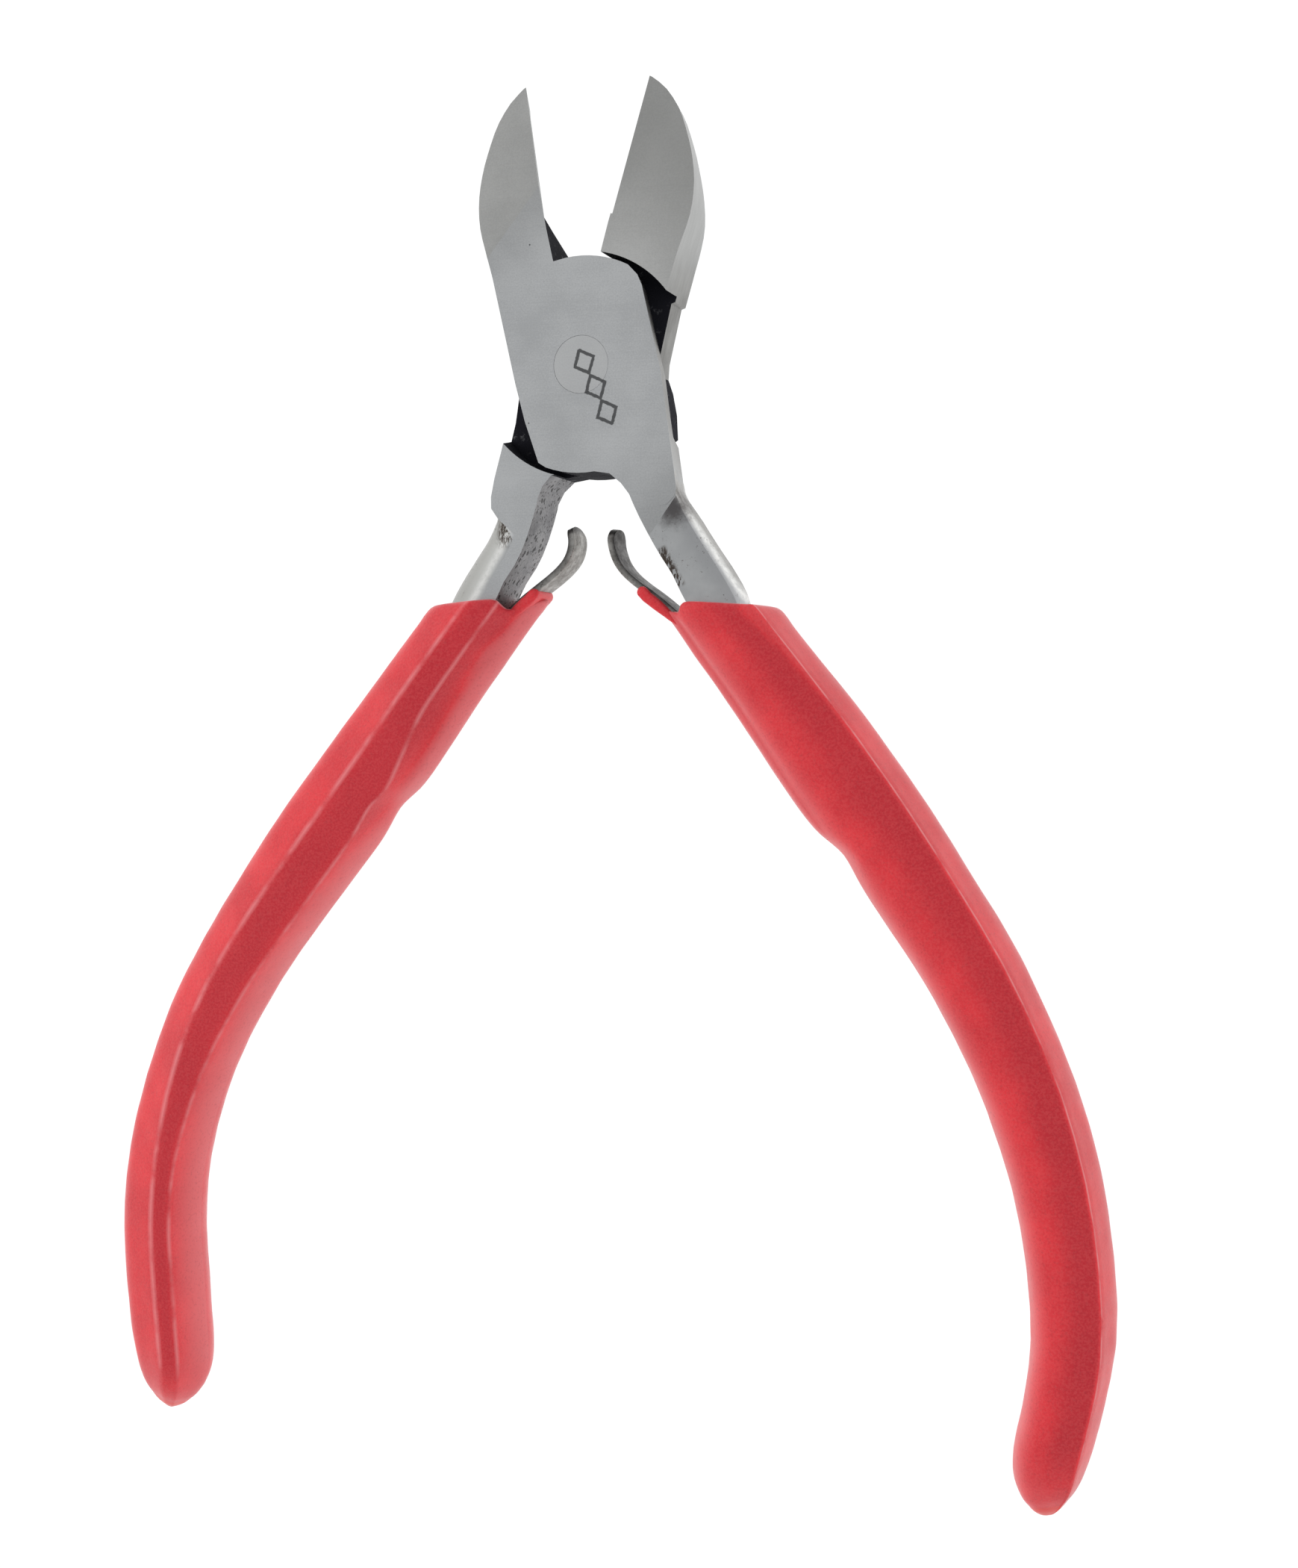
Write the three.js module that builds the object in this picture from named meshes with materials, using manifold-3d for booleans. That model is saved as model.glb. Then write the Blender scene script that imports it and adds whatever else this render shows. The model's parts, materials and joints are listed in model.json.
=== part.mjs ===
// Side cutter with a lap joint, two leaf springs and dipped grips. Millimetres, +Z up.
// Origin: on the pivot axis, at the joint's back face. +Y points to the jaw tips.
// Each half is drawn closed, with the pivot at 0, 0 and its jaw to the left of the centre line:
// u to the right, v towards the tips. opened() then flips the rear half and opens both.
import * as THREE from "three";
import { mergeVertices } from "three/addons/utils/BufferGeometryUtils.js";
import Module from "manifold-3d";

const wasm = await Module();
wasm.setup();

// Driving dimensions
const HALF_OPENING = 12.94;      // degrees that each half is turned open in the rest pose
const JOINT = 6.0;               // joint thickness
const MID = JOINT / 2;           // height of the middle plane
const LAP_GAP = 0.05;            // each plate stops this far from the middle plane
const JAW_TIP = 25.7;            // pivot to jaw tip
const EDGE_GAP = 0.05;           // each cutting edge stops this far from the centre line
const SHOULDER_R = 9.9;          // round shoulder that the other lever's plate turns in
const PLATE_R = 9.5;             // round end of the joint plate
const TIP_HALF = 1.6;            // half thickness of the jaw at its tip
const DRAFT = 1.1;               // outer wall's lean over the joint thickness
const INNER_DRAFT = 0.3;         // the tang's inner wall leans this far the other way
const BEVEL = 27;                // cutting bevel, degrees from the jaw's thickness
const HEAD_R = 2.5;              // rivet head
const SHANK_R = 1.7;             // rivet shank
const HEAD_DEEP = 0.6;           // straight part of the head, below it a cone down to the shank
const CONE_DEEP = 1.4;
const BORE_GAP = 0.05;           // radial clearance round the rivet
const CORE_HALF = 2.8;           // half thickness of the handle core
const SET_FROM = -10;            // the handles take up their own set between these two heights
const SET_TO = -17;
const GRIP_HALF = 4.1;           // half thickness of the dipped grip
const LEAF = 0.6;                // leaf spring thickness
const LEAF_WIDE = 3.4;           // leaf spring width
const WEB_WIDE = 4.4;            // width of the dip that runs up the leaf
const PIN_R = 0.7;               // pin of the spring's rivet
const PIN_DEEP = 1.6;            // its depth in the core
const PIN_HEAD_R = 1.3;
const PIN_HEAD = 0.45;           // thickness of its head
const GAP = 0.3;                 // space between neighbouring pieces
const SECTION_POINTS = 24;       // points round a handle section
const OUTER_WALL = 3.2;          // outline points right of this u are on the outer wall

const STEEL = 0xa7abad;
const SPRING_STEEL = 0x6d6c68;
const RED = 0xd23c48;

// The two halves. grip: centre u, centre v, half width. leaf: its free part, from the tip.
// web: outer side of the dip on the leaf. top: outer corner of the grip's open end.
// edge: u of the cutting edge at the tip and at the throat. shoulder: outer side of the tang's start.
// flank: the plate's other side, up to the jaw.
const FRONT = {
  rear: false,
  set: 0,
  edge: [-0.05, -0.48],
  shoulder: [[6.5, -8.7], [6.3, -11.3], [6.15, -12.9], [5.8, -13.45], [5.0, -13.95]],
  flank: [[-5.75, -7.4], [-6.2, -3.5], [-6.35, 0.0]],
  top: [12.9, -24.9],
  grip: [
    [5.95, -20.0, 3.85], [7.7, -24.5, 4.0], [10.2, -30, 4.15], [15.1, -41, 4.5], [18.9, -50, 4.25],
    [22.5, -60, 4.05], [24.7, -70, 3.9], [25.2, -80, 3.7], [23.9, -90, 3.5], [21.6, -96, 3.3],
    [19.5, -100.2, 2.95], [18.5, -102.6, 2.1], [17.9, -103.9, 0.9],
  ],
  leaf: [
    [-0.8, -14.5], [-1.1, -15.5], [-1.12, -16.6], [-0.9, -17.7], [-0.35, -18.8], [0.5, -19.9],
    [1.5, -21.0], [2.4, -22.1], [4.0, -24.3],
  ],
  web: [[3.3, -24.65], [2.85, -24.0], [1.9, -22.75], [0.65, -21.4], [0.1, -20.6], [0.05, -20.0]],
};
const REAR = {
  rear: true,
  set: -1.15,
  edge: [0.05, 0.48],
  shoulder: [
    [6.75, -8.7], [6.85, -11.3], [6.8, -13.0], [6.55, -14.0], [5.65, -14.8], [4.7, -15.3], [3.75, -15.9],
  ],
  flank: [
    [-5.75, -7.4], [-8.3, -4.4], [-7.7, -2.3], [-6.9, -0.5], [-6.2, 0.6], [-5.98, 1.9], [-5.95, 6.95],
    [-6.27, 7.15],
  ],
  top: [11.2, -24.1],
  grip: [
    [4.4, -20.0, 3.85], [6.05, -24.5, 4.0], [8.6, -30, 4.2], [13.5, -41, 4.6], [18.1, -51, 4.5],
    [22.2, -61, 4.15], [24.7, -70.5, 3.95], [25.35, -80, 3.8], [24.45, -87, 3.85], [22.4, -93.7, 3.9],
    [20.8, -98.2, 3.5], [19.8, -101.2, 2.7], [18.9, -103.6, 1.1],
  ],
  leaf: [
    [-1.5, -14.1], [-2.05, -14.9], [-2.25, -15.9], [-2.15, -16.8], [-1.75, -17.7], [-1.05, -18.7],
    [-0.2, -19.7], [0.75, -20.8], [1.7, -22.0], [3.1, -24.2],
  ],
  web: [[2.35, -24.6], [1.9, -23.9], [0.9, -22.75], [-0.15, -21.5], [-0.75, -20.7], [-0.8, -20.0]],
};

// Helpers

// Turns a geometry into a solid for booleans.
function solid(geometry) {
  geometry.deleteAttribute("normal");
  geometry.deleteAttribute("uv");
  const merged = mergeVertices(geometry, 1e-5);
  return new wasm.Manifold(new wasm.Mesh({
    numProp: 3,
    vertProperties: Float32Array.from(merged.attributes.position.array),
    triVerts: Uint32Array.from(merged.index.array),
  }));
}

// Turns a solid into a named mesh with its own material.
function piece(name, body, color, roughness, metalness) {
  const mesh = body.getMesh();
  const geometry = new THREE.BufferGeometry();
  const position = Float32Array.from(mesh.vertProperties);
  geometry.setAttribute("position", new THREE.BufferAttribute(position, 3));
  geometry.setIndex(new THREE.BufferAttribute(Uint32Array.from(mesh.triVerts), 1));
  geometry.computeVertexNormals();
  const material = new THREE.MeshStandardMaterial({ color, roughness, metalness });
  const result = new THREE.Mesh(geometry, material);
  result.name = name;
  return result;
}

function vectors(points) {
  return points.map(([u, v]) => new THREE.Vector2(u, v));
}

// Upright prism over a closed outline.
function prism(points, low, high) {
  const shape = new THREE.Shape(vectors(points));
  const geometry = new THREE.ExtrudeGeometry(shape, { depth: high - low, bevelEnabled: false });
  geometry.translate(0, 0, low);
  return solid(geometry);
}

// Blank of a lever: its outer right wall leans in towards the recessed side.
function blank(points) {
  const shape = new THREE.Shape(vectors(points));
  const geometry = new THREE.ExtrudeGeometry(shape, { depth: JOINT, bevelEnabled: false });
  const position = geometry.attributes.position;
  for (let i = 0; i < position.count; i += 1) {
    const u = position.getX(i);
    const inner = INNER_DRAFT * ease(position.getY(i), SET_FROM, SET_FROM - 2);
    const lean = u > OUTER_WALL ? DRAFT : inner;
    position.setX(i, position.getZ(i) < MID ? u - lean : u);
  }
  return solid(geometry);
}

// Prism centred on the middle plane.
function midPrism(points, wide) {
  return prism(points, MID - wide / 2, MID + wide / 2);
}

// Round piece or cone on the pivot axis.
function round(lowRadius, highRadius, low, high, points = 48) {
  const geometry = new THREE.CylinderGeometry(highRadius, lowRadius, high - low, points);
  geometry.rotateX(Math.PI / 2);
  geometry.translate(0, 0, (low + high) / 2);
  return solid(geometry);
}

// Large block on the side of a plane that its normal points to.
function halfSpace(point, normal) {
  const deep = 60;
  const n = normal.clone().normalize();
  const turn = new THREE.Quaternion().setFromUnitVectors(new THREE.Vector3(0, 0, 1), n);
  const centre = point.clone().addScaledVector(n, deep / 2);
  const geometry = new THREE.BoxGeometry(200, 200, deep);
  geometry.applyQuaternion(turn);
  geometry.translate(centre.x, centre.y, centre.z);
  return solid(geometry);
}

// Points on an arc about the pivot, angles in degrees.
function arc(radius, from, to, steps) {
  return Array.from({ length: steps + 1 }, (_, i) => {
    const angle = THREE.MathUtils.degToRad(from + ((to - from) * i) / steps);
    return [radius * Math.cos(angle), radius * Math.sin(angle)];
  });
}

// Smooth curve through points, in equal steps.
function curve(points, steps) {
  return new THREE.SplineCurve(vectors(points)).getSpacedPoints(steps).map((p) => [p.x, p.y]);
}

// Unit normal of a line of points at one of them, to the left of its direction.
function normalAt(points, i) {
  const [au, av] = points[Math.max(i - 1, 0)];
  const [bu, bv] = points[Math.min(i + 1, points.length - 1)];
  const length = Math.hypot(bu - au, bv - av);
  return [-(bv - av) / length, (bu - au) / length];
}

// Line of points moved sideways, to the left of its direction.
function offset(points, distance) {
  return points.map(([u, v], i) => {
    const [nu, nv] = normalAt(points, i);
    return [u + nu * distance, v + nv * distance];
  });
}

// Closed outline between two offsets of one line.
function band(points, right, left) {
  return offset(points, right).concat(offset(points, left).reverse());
}

// Rounded bar along stations of [u, v, half width], with squarish oval sections.
function bar(stations, half, power, rings) {
  const path = new THREE.CatmullRomCurve3(stations.map((s) => new THREE.Vector3(...s)));
  const geometry = new THREE.CylinderGeometry(1, 1, 1, SECTION_POINTS, rings);
  const position = geometry.attributes.position;
  const squarish = (c) => Math.sign(c) * Math.abs(c) ** (2 / power);
  for (let i = 0; i < position.count; i += 1) {
    const t = THREE.MathUtils.clamp(0.5 - position.getY(i), 0, 1);
    const at = path.getPoint(t);
    const tangent = path.getTangent(t);
    const length = Math.hypot(tangent.x, tangent.y);
    const across = squarish(position.getX(i)) * at.z;
    const rise = squarish(position.getZ(i)) * Math.min(half, at.z * 1.3);
    const u = at.x - (tangent.y / length) * across;
    const v = at.y + (tangent.x / length) * across;
    position.setXYZ(i, u, v, MID + rise);
  }
  return solid(geometry);
}

// 0 above v = from, 1 below v = to.
function ease(v, from, to) {
  return THREE.MathUtils.smoothstep(-v, -from, -to);
}

// Moves a lever's points to its handle's own set.
function withSet(half, points) {
  return points.map(([u, v, w]) => {
    const moved = u + half.set * ease(v, SET_FROM, SET_TO);
    return w === undefined ? [moved, v] : [moved, v, w];
  });
}

// Shared outlines

// Jaw, joint plate and the start of the tang.
function leverOutline(half) {
  const jaw = curve([
    [-6.4, 9.5], [-6.5, 11.5], [-6.75, 14.4], [-6.45, 17.0], [-5.65, 19.4], [-4.62, 21.4],
    [-3.48, 23.2], [-2.1, 24.6], [-1.0, 25.3],
  ], 18);
  const tang = withSet(half, [[2.6, -13.8], [2.05, -12.6], [1.35, -11.1], [0.5, -10.0]]);
  const [tip, throat] = half.edge;
  return [
    [tip - EDGE_GAP, JAW_TIP], [throat - EDGE_GAP, 12.5], [throat - EDGE_GAP, PLATE_R],
    ...arc(PLATE_R, 86, 50, 8),
    [6.75, 6.2], [6.95, 5.2], [7.0, -2.5], [6.7, -6.0],
    ...half.shoulder, ...tang, ...arc(PLATE_R, -95, -123, 6), ...half.flank, ...jaw,
    [tip - 0.3, JAW_TIP - 0.06],
  ].reverse();
}

// Section of the tang as [across, rise] in units of its half width and half thickness, first
// where it leaves the plate, then further down: one side keeps a wide flat up to a ridge, the
// other a narrow flat along the inner wall and a round slope.
const TANG_HALF = 2.1;           // usual half width, for the lean of the inner wall
const LEAN = INNER_DRAFT / TANG_HALF;
const TANG_ROOT = [
  [-1 - LEAN, -1], [-0.6, -1], [-0.4, -1], [-0.1, -1], [0.2, -1], [0.45, -1], [0.7, -0.5], [0.85, 0.1],
  [0.9, 0.5], [0.93, 0.85], [0.85, 1], [0.3, 1], [-0.2, 1], [-1, 1],
];
const TANG_DOWN = [
  [-1 - LEAN, -1], [-0.58, -1], [-0.35, -0.95], [0.0, -0.82], [0.35, -0.62], [0.65, -0.4], [0.88, -0.12],
  [1.0, 0.2], [0.96, 0.5], [0.84, 0.76], [0.68, 0.88], [0.3, 0.95], [-0.2, 0.985], [-1, 1],
];

// Tang of the lever: stations of [u, v, half width] from the plate into the grip.
function tang(half, gap) {
  const stations = withSet(half, [
    [4.0, -11.2, 2.3], [4.28, -13.5, 2.1], [5.37, -17.0, 2.15], [6.23, -19.3, 2.15], [6.95, -21.5, 2.3],
    [7.75, -23.9, 2.2], [8.5, -25.8, 1.5],
  ]);
  const path = new THREE.CatmullRomCurve3(stations.map((s) => new THREE.Vector3(...s)));
  const rings = 16;
  const geometry = new THREE.CylinderGeometry(1, 1, 1, TANG_ROOT.length, rings);
  const position = geometry.attributes.position;
  for (let i = 0; i < position.count; i += 1) {
    const t = THREE.MathUtils.clamp(0.5 - position.getY(i), 0, 1);
    const turn = Math.atan2(-position.getX(i), position.getZ(i)) / (2 * Math.PI);
    const k = Math.round((turn + 1) * TANG_ROOT.length) % TANG_ROOT.length;
    const at = path.getPoint(t);
    const tangent = path.getTangent(t);
    const length = Math.hypot(tangent.x, tangent.y);
    const down = ease(at.y, -12.6, -16.4);
    const onAxis = Math.hypot(position.getX(i), position.getZ(i)) < 0.5;
    const [across, rise] = [0, 1].map((axis) => {
      const unit = THREE.MathUtils.lerp(TANG_ROOT[k][axis], TANG_DOWN[k][axis], down);
      return onAxis ? 0 : unit * ((axis === 0 ? at.z : MID) + gap);
    });
    const u = at.x - (tangent.y / length) * across;
    const v = at.y + (tangent.x / length) * across;
    position.setXYZ(i, u, v, MID + rise);
  }
  return solid(geometry);
}

// Rounded core of the handle, from inside the mouth of the grip to near its end.
function coreStations(half) {
  const start = withSet(half, [[8.5, -25.8, 2.0]]);
  const inside = half.grip.map(([u, v, w], i) => {
    const leafRoom = 1 - ease(v, -44, -54);
    const [nu, nv] = normalAt(half.grip, i);
    return [u + nu * 0.55 * leafRoom, v + nv * 0.55 * leafRoom, w - 1.3 - 0.55 * leafRoom];
  });
  return [...start, ...inside.filter(([, v]) => v < -28 && v > -99.5)];
}

// Centre line of the leaf's fixed part, which lies along the core under the dip.
function leafFixed(half) {
  const core = coreStations(half);
  const line = core.map(([u, v, w], i) => {
    const [nu, nv] = normalAt(core, i);
    const off = w + GAP / 2 + LEAF / 2;
    return [u - nu * off, v - nv * off];
  });
  return line.filter(([, v]) => v < -28 && v > -46);
}

// Whole centre line of the leaf; the free part is the first FREE_STEPS steps.
const LEAF_STEPS = 30;
const FREE_STEPS = 11;
function leafLine(half) {
  return curve([...half.leaf, ...leafFixed(half)], LEAF_STEPS);
}

// Dip that runs up the leaf's inner side, seen from the front.
function webOutline(half) {
  const inner = offset(leafLine(half).slice(6, FREE_STEPS), -LEAF / 2 - 0.1);
  return inner.concat(half.web);
}

// Sub-parts

function rivetBody(gap) {
  const reach = gap > 0 ? 1 : 0;
  const head = HEAD_R + gap;
  const shank = SHANK_R + gap;
  return round(head, head, -reach, HEAD_DEEP)
    .add(round(head, shank, HEAD_DEEP, CONE_DEEP))
    .add(round(shank, shank, CONE_DEEP, JOINT - CONE_DEEP))
    .add(round(shank, head, JOINT - CONE_DEEP, JOINT - HEAD_DEEP))
    .add(round(head, head, JOINT - HEAD_DEEP, JOINT + reach));
}

// Blocks that cut the jaw: tapered faces and the bevel behind the cutting edge.
// The flush face is the one that ends up in front.
function jawCuts(half) {
  const flip = (z) => (half.rear ? JOINT - z : z);
  const drop = MID - TIP_HALF;
  const tip = new THREE.Vector3(0, JAW_TIP, JOINT - drop);
  // Tapered face through the tip and a line across the jaw, on the side at z = JOINT.
  const taper = (...line) => {
    const [from, to] = line.map(([u, v]) => new THREE.Vector3(u, v, JOINT));
    const face = to.sub(from).cross(tip.clone().sub(from));
    return halfSpace(from, face.multiplyScalar(Math.sign(face.z)));
  };
  const start = 13.5;
  const [tipU, throatU] = half.edge;
  const startU = throatU + ((tipU - throatU) * (start - 12.5)) / (JAW_TIP - 12.5);
  const edge = [
    new THREE.Vector3(startU - EDGE_GAP, start, flip(JOINT)),
    new THREE.Vector3(tipU - EDGE_GAP, JAW_TIP, flip(tip.z)),
  ];
  const slant = THREE.MathUtils.degToRad(BEVEL);
  const into = new THREE.Vector3(-Math.sin(slant), 0, (half.rear ? 1 : -1) * Math.cos(slant));
  const bevel = edge[1].clone().sub(edge[0]).cross(into);
  bevel.multiplyScalar(Math.sign(bevel.x));
  const above = new THREE.Vector3(0, 1, half.rear ? 0.57 : -0.57);
  return [
    taper([-6.3, 11.7], [-3.5, 13.9]),
    taper([-6.3, 9.0], [-0.5, 9.8]).mirror([0, 0, 1]).translate([0, 0, JOINT]),
    halfSpace(edge[0], bevel).intersect(halfSpace(edge[0], above)),
  ];
}

function lever(half, name) {
  let body = blank(leverOutline(half));
  body = body.add(tang(half, 0)).add(bar(coreStations(half), CORE_HALF, 2.4, 30));
  body = body.subtract(round(SHOULDER_R, SHOULDER_R, -1, MID + LAP_GAP, 96));
  jawCuts(half).forEach((cut) => {
    body = body.subtract(cut);
  });
  body = body.subtract(rivetBody(BORE_GAP));
  body = body.subtract(springRivetRoom(half));
  return piece(name, body, STEEL, 0.38, 1.0);
}

// Short rivet that holds the leaf on the core; its axis lies across the handle.
function springRivetBody(half, gap) {
  const core = coreStations(half);
  const i = core.findIndex(([, v]) => v < -38);
  const [u, v, w] = core[i];
  const [nu, nv] = normalAt(core, i);
  const turn = Math.atan2(nv, nu);
  const pin = (radius, low, high) => {
    const geometry = new THREE.CylinderGeometry(radius, radius, high - low, 24);
    geometry.rotateZ(Math.PI / 2);
    geometry.translate(-(low + high) / 2, 0, 0);
    geometry.rotateZ(turn);
    geometry.translate(u, v, MID);
    return solid(geometry);
  };
  const seat = w + GAP / 2 + LEAF;
  const under = seat + 0.05;
  return pin(PIN_R + gap, w - PIN_DEEP - gap, seat + 0.1)
    .add(pin(PIN_HEAD_R + gap, under - gap, seat + PIN_HEAD + gap));
}

function springRivetRoom(half) {
  return springRivetBody(half, 0.1);
}

function springRivet(half, name) {
  return piece(name, springRivetBody(half, 0), STEEL, 0.45, 1.0);
}

function springShank(half, name) {
  const line = leafLine(half).slice(FREE_STEPS);
  const body = midPrism(band(line, -LEAF / 2, LEAF / 2), LEAF_WIDE).subtract(springRivetRoom(half));
  return piece(name, body, SPRING_STEEL, 0.5, 1.0);
}

function springBlade(half, name) {
  const line = leafLine(half).slice(0, FREE_STEPS);
  const body = midPrism(band(line, -LEAF / 2, LEAF / 2), LEAF_WIDE);
  return piece(name, body, SPRING_STEEL, 0.5, 1.0);
}

function web(half, name) {
  return piece(name, midPrism(webOutline(half), WEB_WIDE), RED, 0.35, 0.0);
}

// Room inside the grip for the core, the leaf, its rivet and the free leaf's movement.
function gripRoom(half) {
  const core = coreStations(half).map(([u, v, w]) => [u, v, w + GAP]);
  const line = leafLine(half).slice(FREE_STEPS - 2);
  const slot = withSet(half, [
    [-3, -18], [5.2, -20.0], [5.2, -22.6], [7.0, -27.6], [5.0, -25.9], [3.4, -24.6], [2.6, -25.4], [0, -26],
  ]).reverse();
  return bar(core, CORE_HALF + GAP, 2.4, 30)
    .add(tang(half, GAP))
    .add(midPrism(band(line, -LEAF / 2 - GAP, LEAF / 2 + GAP), LEAF_WIDE + 2 * GAP))
    .add(midPrism(slot, WEB_WIDE + 2 * GAP))
    .add(springRivetBody(half, GAP));
}

function grip(half, name) {
  const top = new THREE.Vector3(...half.top, 0);
  const body = bar(half.grip, GRIP_HALF, 2.5, 34)
    .subtract(halfSpace(top, new THREE.Vector3(2.5, 8.5, 0)))
    .subtract(gripRoom(half));
  return piece(name, body, RED, 0.35, 0.0);
}

// One half of the tool as a group, flipped if it is the rear one and turned open.
function opened(half, name) {
  const flipped = new THREE.Group();
  flipped.add(
    lever(half, `${name}_lever`),
    springShank(half, `${name}_spring_shank`),
    springBlade(half, `${name}_spring_blade`),
    springRivet(half, `${name}_spring_rivet`),
    grip(half, `${name}_grip`),
    web(half, `${name}_grip_web`),
  );
  flipped.rotation.y = half.rear ? Math.PI : 0;
  flipped.position.z = half.rear ? JOINT : 0;
  const turned = new THREE.Group();
  turned.add(flipped);
  turned.rotation.z = THREE.MathUtils.degToRad(half.rear ? -HALF_OPENING : HALF_OPENING);
  return turned;
}

const part = new THREE.Group();
part.name = "flush_cutter";
part.add(
  opened(FRONT, "front"),
  opened(REAR, "rear"),
  piece("pivot_rivet", rivetBody(0), 0xb9bdbf, 0.4, 1.0),
);

export default part;
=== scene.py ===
"""A small side cutter with red dipped grips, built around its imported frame. Metres, +Z up."""

import json
import math

import bmesh
import bpy
import numpy as np
from mathutils import Matrix, Vector, noise
from mathutils.bvhtree import BVHTree

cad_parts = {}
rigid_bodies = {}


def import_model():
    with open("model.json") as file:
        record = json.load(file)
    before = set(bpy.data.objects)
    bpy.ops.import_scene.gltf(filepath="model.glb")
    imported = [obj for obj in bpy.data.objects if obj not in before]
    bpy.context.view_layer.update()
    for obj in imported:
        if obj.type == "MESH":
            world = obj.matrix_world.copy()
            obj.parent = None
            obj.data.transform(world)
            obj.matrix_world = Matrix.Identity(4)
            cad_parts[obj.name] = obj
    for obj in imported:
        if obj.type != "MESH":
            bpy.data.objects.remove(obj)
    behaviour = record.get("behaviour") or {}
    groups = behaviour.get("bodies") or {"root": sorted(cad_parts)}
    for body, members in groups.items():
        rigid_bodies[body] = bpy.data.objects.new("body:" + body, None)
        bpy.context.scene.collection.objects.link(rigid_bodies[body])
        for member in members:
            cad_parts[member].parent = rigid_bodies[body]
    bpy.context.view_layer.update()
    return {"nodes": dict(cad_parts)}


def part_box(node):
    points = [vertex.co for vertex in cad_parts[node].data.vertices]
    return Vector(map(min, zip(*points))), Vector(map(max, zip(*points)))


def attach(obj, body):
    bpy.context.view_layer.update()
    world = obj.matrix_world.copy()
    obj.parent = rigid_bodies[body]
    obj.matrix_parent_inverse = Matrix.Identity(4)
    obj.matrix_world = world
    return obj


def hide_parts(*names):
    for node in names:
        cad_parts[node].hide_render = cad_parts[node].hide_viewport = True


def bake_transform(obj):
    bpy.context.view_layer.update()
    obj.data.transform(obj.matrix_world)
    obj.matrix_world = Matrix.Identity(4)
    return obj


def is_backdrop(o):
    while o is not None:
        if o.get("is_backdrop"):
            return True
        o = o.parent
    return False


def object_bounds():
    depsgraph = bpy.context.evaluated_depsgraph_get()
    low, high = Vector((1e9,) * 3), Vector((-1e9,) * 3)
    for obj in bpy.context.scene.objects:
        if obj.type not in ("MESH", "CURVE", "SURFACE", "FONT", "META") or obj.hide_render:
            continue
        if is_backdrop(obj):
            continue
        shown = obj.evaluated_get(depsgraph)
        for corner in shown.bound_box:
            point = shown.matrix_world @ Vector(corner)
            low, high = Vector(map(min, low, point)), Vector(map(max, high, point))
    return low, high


for leftover in list(bpy.data.objects):
    bpy.data.objects.remove(leftover)
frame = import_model()

MM = 0.001
HALF_OPENING = math.radians(12.94)  # each half is turned open by this much about the pivot
RIVET_LOW, RIVET_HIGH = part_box("pivot_rivet")
JOINT = (RIVET_HIGH.z - RIVET_LOW.z) / MM  # joint thickness in millimetres
MID = JOINT / 2
PIVOT = Vector((0, 0, 0))
WELD = 0.002        # corners of a CAD mesh nearer than this in millimetres are one


class Half:
    """One half of the tool, with the matrix from its own closed plane to the row frame.

    In its own plane u points away from the centre line, v to the jaw tips and z up from the
    recessed side, in millimetres. The rear half is the front one flipped about v.
    """

    def __init__(self, name):
        self.name = name
        self.rear = name == "rear"
        flip = Matrix.Diagonal((-1, 1, -1, 1)) if self.rear else Matrix.Identity(4)
        lift = Matrix.Translation((0, 0, JOINT if self.rear else 0))
        turn = Matrix.Rotation(-HALF_OPENING if self.rear else HALF_OPENING, 4, "Z")
        self.to_world = Matrix.Scale(MM, 4) @ turn @ lift @ flip
        self.to_plane = self.to_world.inverted()
        self.body = f"{name}_half"
        self.spring = f"{name}_spring"

    def node(self, part):
        return f"{self.name}_{part}"

    def world(self, u, v, z):
        return self.to_world @ Vector((u, v, z))


FRONT, REAR = Half("front"), Half("rear")
HALVES = (FRONT, REAR)


# Mesh helpers

def object_of(bm, name, materials):
    """A finished object of a bmesh, in the row frame."""
    bmesh.ops.recalc_face_normals(bm, faces=bm.faces)
    mesh = bpy.data.meshes.new(name)
    bm.to_mesh(mesh)
    bm.free()
    for material in materials:
        mesh.materials.append(material)
    result = bpy.data.objects.new(name, mesh)
    bpy.context.scene.collection.objects.link(result)
    return result


def smooth(bm, degrees):
    """Smooth shading, with sharp edges where two faces meet at more than that angle."""
    limit = math.radians(degrees)
    for face in bm.faces:
        face.smooth = True
    for edge in bm.edges:
        edge.smooth = len(edge.link_faces) == 2 and edge.calc_face_angle(0) < limit


def loft(bm, rings):
    """Closed skin over rings with the same number of points, with both ends filled."""
    rows = [[bm.verts.new(p) for p in ring] for ring in rings]
    count = len(rows[0])
    for low, high in zip(rows, rows[1:]):
        for i in range(count):
            j = (i + 1) % count
            bm.faces.new((low[i], low[j], high[j], high[i]))
    bm.faces.new(rows[0][::-1])
    bm.faces.new(rows[-1])
    return rows


def ease(value, start, end):
    """0 before start, 1 after end, smooth between."""
    t = min(max((value - start) / (end - start), 0), 1)
    return t * t * (3 - 2 * t)


def in_plane(half, part):
    """A bmesh copy of a CAD node in its half's plane, with its corners joined."""
    bm = bmesh.new()
    bm.from_mesh(frame["nodes"][half.node(part)].data)
    bm.transform(half.to_plane)
    bmesh.ops.remove_doubles(bm, verts=bm.verts, dist=WELD)
    return bm


MOST_CUT = 0.499    # share of a side that the rounding of one corner may take


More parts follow.
